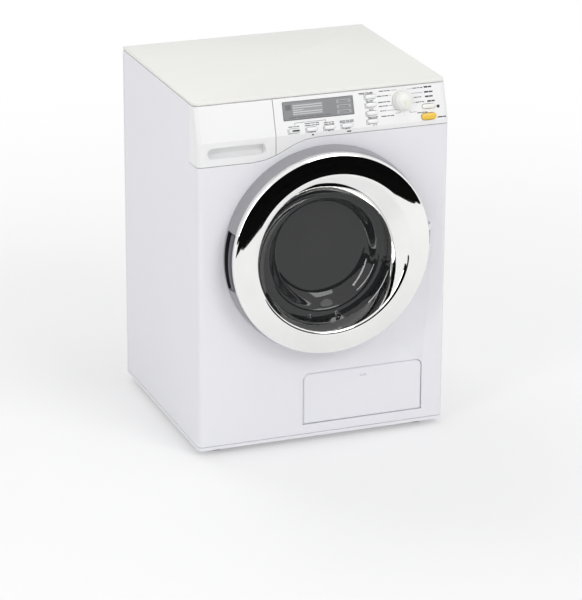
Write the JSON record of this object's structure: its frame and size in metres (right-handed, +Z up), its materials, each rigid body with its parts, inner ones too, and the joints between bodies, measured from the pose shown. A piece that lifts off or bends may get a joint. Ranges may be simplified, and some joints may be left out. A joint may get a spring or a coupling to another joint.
{
  "type": "toy washing machine",
  "caption": "Front-loading toy washing machine with a hinged round door, geared turning drum, sliding detergent drawer, selector knob, sprung keys and a drop-down service flap.",
  "frame": {"origin": "on the floor, under the middle of the outer box", "axes": "+X to the right seen from the front, +Y from the door into the machine, +Z up"},
  "size_m": [0.188, 0.185, 0.26],
  "materials": {
    "white_plastic": "glossy moulded plastic, bluish white",
    "panel_plastic": "glossy moulded plastic, bright white",
    "cream_plastic": "satin moulded plastic, warm white",
    "chrome": "plated mirror finish",
    "grey_plastic": "satin moulded plastic, mid grey",
    "dark_plastic": "satin moulded plastic, dark grey",
    "smoke_plastic": "smoked clear plastic, polished",
    "screen": "glossy grey lens",
    "yellow_plastic": "glossy moulded plastic, yellow",
    "silver_plastic": "silver-coloured plastic",
    "steel": "plain steel",
    "rubber": "soft rubber",
    "natural_plastic": "unpainted inner moulding",
    "circuit_green": "coated circuit board",
    "black_plastic": "satin black plastic"
  },
  "bodies": {
    "cabinet": {"cabinet_shell": "white_plastic", "top_plate": "cream_plastic", "rear_cover": "white_plastic", "base_plate": "white_plastic", "foot_1": "rubber", "foot_2": "rubber", "foot_3": "rubber", "foot_4": "rubber", "control_fascia": "panel_plastic", "display_window": "screen", "circuit_board": "circuit_green", "selector_switch": "black_plastic", "drawer_housing": "natural_plastic", "door_seal": "rubber", "hinge_bracket": "grey_plastic", "hinge_pin": "steel", "latch_catch": "natural_plastic", "tub": "natural_plastic", "drum_bearing": "black_plastic", "drive_bracket": "grey_plastic", "idler_pin": "steel", "motor": "steel", "speaker": "black_plastic", "battery_box": "natural_plastic", "battery_cover": "white_plastic", "battery_cover_screw": "steel", "rear_screw_1": "steel", "rear_screw_2": "steel", "rear_screw_3": "steel", "rear_screw_4": "steel", "wiring_loom": "black_plastic"},
    "door": {"door_frame": "grey_plastic", "door_chrome_ring": "chrome", "door_bowl": "smoke_plastic", "door_grip": "dark_plastic", "door_hinge_arm": "grey_plastic", "door_latch_hook": "grey_plastic"},
    "drum_unit": {"drum": "silver_plastic", "drum_lifter_1": "white_plastic", "drum_lifter_2": "white_plastic", "drum_lifter_3": "white_plastic", "drum_shaft": "steel", "drum_gear": "natural_plastic"},
    "idler_unit": {"idler_gear": "natural_plastic"},
    "rotor": {"motor_pinion": "steel"},
    "drawer": {"drawer_front": "panel_plastic", "drawer_tray": "natural_plastic"},
    "selector": {"selector_knob": "cream_plastic"},
    "flap": {"service_flap": "white_plastic"},
    "option_key_1_unit": {"option_key_1": "panel_plastic"},
    "option_key_2_unit": {"option_key_2": "panel_plastic"},
    "option_key_3_unit": {"option_key_3": "panel_plastic"},
    "option_key_4_unit": {"option_key_4": "panel_plastic"},
    "setting_key_1_unit": {"setting_key_1": "panel_plastic"},
    "setting_key_2_unit": {"setting_key_2": "panel_plastic"},
    "setting_key_3_unit": {"setting_key_3": "panel_plastic"},
    "setting_key_4_unit": {"setting_key_4": "panel_plastic"},
    "door_key_unit": {"door_key": "cream_plastic"},
    "start_key_unit": {"start_key": "yellow_plastic"}
  },
  "joints": [
    {"name": "door_swing", "type": "hinge", "parent": "cabinet", "child": "door", "pos_m": [0.0772, -0.0768, 0.148], "axis": [0, 0, 1], "range_deg": [0, 110]},
    {"name": "drum_spin", "type": "hinge", "parent": "cabinet", "child": "drum_unit", "pos_m": [0, 0, 0.148], "axis": [0, 1, 0], "continuous": true},
    {"name": "idler_spin", "type": "hinge", "parent": "cabinet", "child": "idler_unit", "pos_m": [0.01875, 0.048, 0.11552], "axis": [0, 1, 0], "continuous": true},
    {"name": "motor_spin", "type": "hinge", "parent": "cabinet", "child": "rotor", "pos_m": [0.01419, 0.052, 0.08967], "axis": [0, 1, 0], "continuous": true},
    {"name": "drawer_slide", "type": "slide", "parent": "cabinet", "child": "drawer", "axis": [0, -1, 0], "range_m": [0, 0.06]},
    {"name": "selector_turn", "type": "hinge", "parent": "cabinet", "child": "selector", "pos_m": [0.0598, -0.06805, 0.2478], "axis": [0, -0.949, 0.3152], "continuous": true},
    {"name": "flap_fall", "type": "hinge", "parent": "cabinet", "child": "flap", "pos_m": [0.0309, -0.0715, 0.0165], "axis": [1, 0, 0], "range_deg": [0, 90]},
    {"name": "option_key_1_press", "type": "slide", "parent": "cabinet", "child": "option_key_1_unit", "axis": [0, 0.949, -0.3152], "range_m": [0, 0.0012], "stiffness_N_per_m": 400},
    {"name": "option_key_2_press", "type": "slide", "parent": "cabinet", "child": "option_key_2_unit", "axis": [0, 0.949, -0.3152], "range_m": [0, 0.0012], "stiffness_N_per_m": 400},
    {"name": "option_key_3_press", "type": "slide", "parent": "cabinet", "child": "option_key_3_unit", "axis": [0, 0.949, -0.3152], "range_m": [0, 0.0012], "stiffness_N_per_m": 400},
    {"name": "option_key_4_press", "type": "slide", "parent": "cabinet", "child": "option_key_4_unit", "axis": [0, 0.949, -0.3152], "range_m": [0, 0.0012], "stiffness_N_per_m": 400},
    {"name": "setting_key_1_press", "type": "slide", "parent": "cabinet", "child": "setting_key_1_unit", "axis": [0, 0.949, -0.3152], "range_m": [0, 0.0012], "stiffness_N_per_m": 400},
    {"name": "setting_key_2_press", "type": "slide", "parent": "cabinet", "child": "setting_key_2_unit", "axis": [0, 0.949, -0.3152], "range_m": [0, 0.0012], "stiffness_N_per_m": 400},
    {"name": "setting_key_3_press", "type": "slide", "parent": "cabinet", "child": "setting_key_3_unit", "axis": [0, 0.949, -0.3152], "range_m": [0, 0.0012], "stiffness_N_per_m": 400},
    {"name": "setting_key_4_press", "type": "slide", "parent": "cabinet", "child": "setting_key_4_unit", "axis": [0, 0.949, -0.3152], "range_m": [0, 0.0012], "stiffness_N_per_m": 400},
    {"name": "door_key_press", "type": "slide", "parent": "cabinet", "child": "door_key_unit", "axis": [0, 0.949, -0.3152], "range_m": [0, 0.0012], "stiffness_N_per_m": 400},
    {"name": "start_key_press", "type": "slide", "parent": "cabinet", "child": "start_key_unit", "axis": [0, 0.949, -0.3152], "range_m": [0, 0.0012], "stiffness_N_per_m": 400}
  ],
  "couplings": [
    {"joint": "idler_spin", "follows": "drum_spin", "ratio": -4},
    {"joint": "motor_spin", "follows": "drum_spin", "ratio": 12.8}
  ]
}
